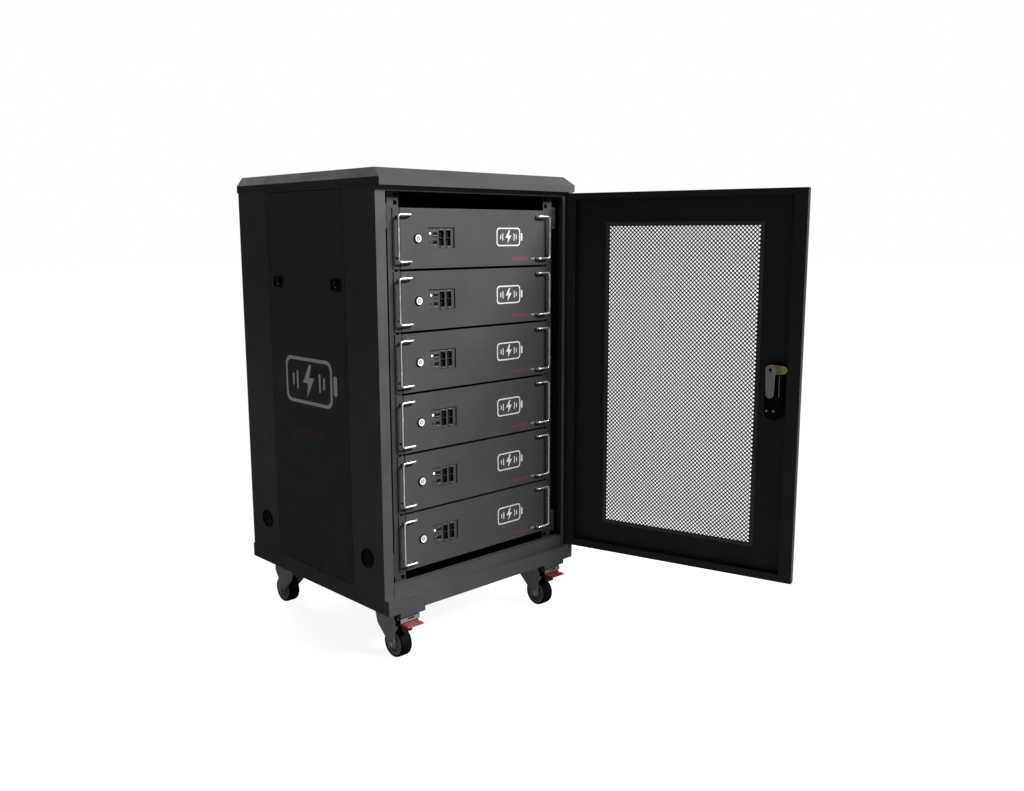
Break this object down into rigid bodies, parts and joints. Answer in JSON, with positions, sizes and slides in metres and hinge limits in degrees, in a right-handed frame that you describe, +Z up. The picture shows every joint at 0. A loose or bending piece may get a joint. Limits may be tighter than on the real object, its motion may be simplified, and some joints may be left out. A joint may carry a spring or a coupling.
{
  "type": "battery rack",
  "caption": "Steel 19-inch cabinet on casters with a perforated hinged door, holding slide-in battery modules with chrome pull handles and push buttons.",
  "frame": {"origin": "centre of the raised square pad on the underside of the base", "axes": "+Z up, the front with the door faces -Y, +X towards the hinge side"},
  "size_m": [0.7575, 1.1663, 1.1135],
  "materials": {
    "frame_powder": "matt textured powder coat",
    "cabinet_powder": "matt textured powder coat",
    "rail_powder": "satin powder coat",
    "module_case_powder": "matt powder coat",
    "module_face_powder": "fine textured powder coat",
    "handle_chrome": "polished",
    "button_cap": "satin",
    "cell_wrap": "matt film",
    "door_powder": "matt textured powder coat",
    "mesh_powder": "matt powder coat",
    "lock_black": "satin",
    "lock_zinc": "zinc plated",
    "lever_black": "satin",
    "caster_steel": "zinc plated",
    "caster_tyre": "matt rubber",
    "pedal_red": "moulded, ribbed"
  },
  "bodies": {
    "root": {"base_frame": "frame_powder", "cabinet_frame": "frame_powder", "top_cover": "frame_powder", "side_panel_left": "cabinet_powder", "side_panel_right": "cabinet_powder", "rear_panel": "cabinet_powder", "rack_rail_left": "rail_powder", "rack_rail_right": "rail_powder", "upper_hinge_pin": "lock_zinc"},
    "door": {"door_frame": "door_powder", "door_mesh": "mesh_powder", "lock_housing": "lock_black"},
    "lock_spindle": {"lock_cam": "lock_zinc"},
    "swing_lever": {"lock_lever": "lever_black"},
    "module_1": {"module_1_case": "module_case_powder", "module_1_front_panel": "module_face_powder", "module_1_handle_left": "handle_chrome", "module_1_handle_right": "handle_chrome", "module_1_cell_pack": "cell_wrap"},
    "button_1": {"module_1_power_button": "button_cap"},
    "module_2": {"module_2_case": "module_case_powder", "module_2_front_panel": "module_face_powder", "module_2_handle_left": "handle_chrome", "module_2_handle_right": "handle_chrome", "module_2_cell_pack": "cell_wrap"},
    "button_2": {"module_2_power_button": "button_cap"},
    "module_3": {"module_3_case": "module_case_powder", "module_3_front_panel": "module_face_powder", "module_3_handle_left": "handle_chrome", "module_3_handle_right": "handle_chrome", "module_3_cell_pack": "cell_wrap"},
    "button_3": {"module_3_power_button": "button_cap"},
    "module_4": {"module_4_case": "module_case_powder", "module_4_front_panel": "module_face_powder", "module_4_handle_left": "handle_chrome", "module_4_handle_right": "handle_chrome", "module_4_cell_pack": "cell_wrap"},
    "button_4": {"module_4_power_button": "button_cap"},
    "module_5": {"module_5_case": "module_case_powder", "module_5_front_panel": "module_face_powder", "module_5_handle_left": "handle_chrome", "module_5_handle_right": "handle_chrome", "module_5_cell_pack": "cell_wrap"},
    "button_5": {"module_5_power_button": "button_cap"},
    "module_6": {"module_6_case": "module_case_powder", "module_6_front_panel": "module_face_powder", "module_6_handle_left": "handle_chrome", "module_6_handle_right": "handle_chrome", "module_6_cell_pack": "cell_wrap"},
    "button_6": {"module_6_power_button": "button_cap"},
    "caster_front_left": {"caster_fork_front_left": "caster_steel"},
    "wheel_front_left": {"caster_wheel_front_left": "caster_tyre"},
    "brake_left": {"brake_pedal_left": "pedal_red"},
    "caster_front_right": {"caster_fork_front_right": "caster_steel"},
    "wheel_front_right": {"caster_wheel_front_right": "caster_tyre"},
    "brake_right": {"brake_pedal_right": "pedal_red"},
    "caster_rear_left": {"caster_fork_rear_left": "caster_steel"},
    "wheel_rear_left": {"caster_wheel_rear_left": "caster_tyre"},
    "caster_rear_right": {"caster_fork_rear_right": "caster_steel"},
    "wheel_rear_right": {"caster_wheel_rear_right": "caster_tyre"}
  },
  "joints": [
    {"name": "door_hinge", "type": "hinge", "parent": "root", "child": "door", "pos_m": [0.2935, -0.295, 0.49], "axis": [0, 0, 1], "range_deg": [-105, 25]},
    {"name": "lock_turn", "type": "hinge", "parent": "door", "child": "lock_spindle", "pos_m": [0.42873, -0.7997, 0.54], "axis": [-0.9659, -0.2588, 0], "range_deg": [0, 90]},
    {"name": "lever_lift", "type": "hinge", "parent": "lock_spindle", "child": "swing_lever", "pos_m": [0.44544, -0.79522, 0.553], "axis": [0.2588, -0.9659, 0], "range_deg": [0, 30]},
    {"name": "module_1_slide", "type": "slide", "parent": "root", "child": "module_1", "axis": [0, -1, 0], "range_m": [0, 0.38]},
    {"name": "button_1_press", "type": "slide", "parent": "module_1", "child": "button_1", "axis": [0, 1, 0], "range_m": [0, 0.002]},
    {"name": "module_2_slide", "type": "slide", "parent": "root", "child": "module_2", "axis": [0, -1, 0], "range_m": [0, 0.38]},
    {"name": "button_2_press", "type": "slide", "parent": "module_2", "child": "button_2", "axis": [0, 1, 0], "range_m": [0, 0.002]},
    {"name": "module_3_slide", "type": "slide", "parent": "root", "child": "module_3", "axis": [0, -1, 0], "range_m": [0, 0.38]},
    {"name": "button_3_press", "type": "slide", "parent": "module_3", "child": "button_3", "axis": [0, 1, 0], "range_m": [0, 0.002]},
    {"name": "module_4_slide", "type": "slide", "parent": "root", "child": "module_4", "axis": [0, -1, 0], "range_m": [0, 0.38]},
    {"name": "button_4_press", "type": "slide", "parent": "module_4", "child": "button_4", "axis": [0, 1, 0], "range_m": [0, 0.002]},
    {"name": "module_5_slide", "type": "slide", "parent": "root", "child": "module_5", "axis": [0, -1, 0], "range_m": [0, 0.38]},
    {"name": "button_5_press", "type": "slide", "parent": "module_5", "child": "button_5", "axis": [0, 1, 0], "range_m": [0, 0.002]},
    {"name": "module_6_slide", "type": "slide", "parent": "root", "child": "module_6", "axis": [0, -1, 0], "range_m": [0, 0.38]},
    {"name": "button_6_press", "type": "slide", "parent": "module_6", "child": "button_6", "axis": [0, 1, 0], "range_m": [0, 0.002]},
    {"name": "swivel_front_left", "type": "hinge", "parent": "root", "child": "caster_front_left", "pos_m": [-0.235, -0.21, -0.03], "axis": [0, 0, 1], "continuous": true},
    {"name": "roll_front_left", "type": "hinge", "parent": "caster_front_left", "child": "wheel_front_left", "pos_m": [-0.235, -0.244, -0.092], "axis": [1, 0, 0], "continuous": true},
    {"name": "brake_left_press", "type": "hinge", "parent": "caster_front_left", "child": "brake_left", "pos_m": [-0.235, -0.279, -0.0335], "axis": [1, 0, 0], "range_deg": [0, 12]},
    {"name": "swivel_front_right", "type": "hinge", "parent": "root", "child": "caster_front_right", "pos_m": [0.235, -0.21, -0.03], "axis": [0, 0, 1], "continuous": true},
    {"name": "roll_front_right", "type": "hinge", "parent": "caster_front_right", "child": "wheel_front_right", "pos_m": [0.235, -0.244, -0.092], "axis": [1, 0, 0], "continuous": true},
    {"name": "brake_right_press", "type": "hinge", "parent": "caster_front_right", "child": "brake_right", "pos_m": [0.235, -0.279, -0.0335], "axis": [1, 0, 0], "range_deg": [0, 12]},
    {"name": "swivel_rear_left", "type": "hinge", "parent": "root", "child": "caster_rear_left", "pos_m": [-0.235, 0.21, -0.03], "axis": [0, 0, 1], "continuous": true},
    {"name": "roll_rear_left", "type": "hinge", "parent": "caster_rear_left", "child": "wheel_rear_left", "pos_m": [-0.235, 0.244, -0.092], "axis": [1, 0, 0], "continuous": true},
    {"name": "swivel_rear_right", "type": "hinge", "parent": "root", "child": "caster_rear_right", "pos_m": [0.235, 0.21, -0.03], "axis": [0, 0, 1], "continuous": true},
    {"name": "roll_rear_right", "type": "hinge", "parent": "caster_rear_right", "child": "wheel_rear_right", "pos_m": [0.235, 0.244, -0.092], "axis": [1, 0, 0], "continuous": true}
  ]
}
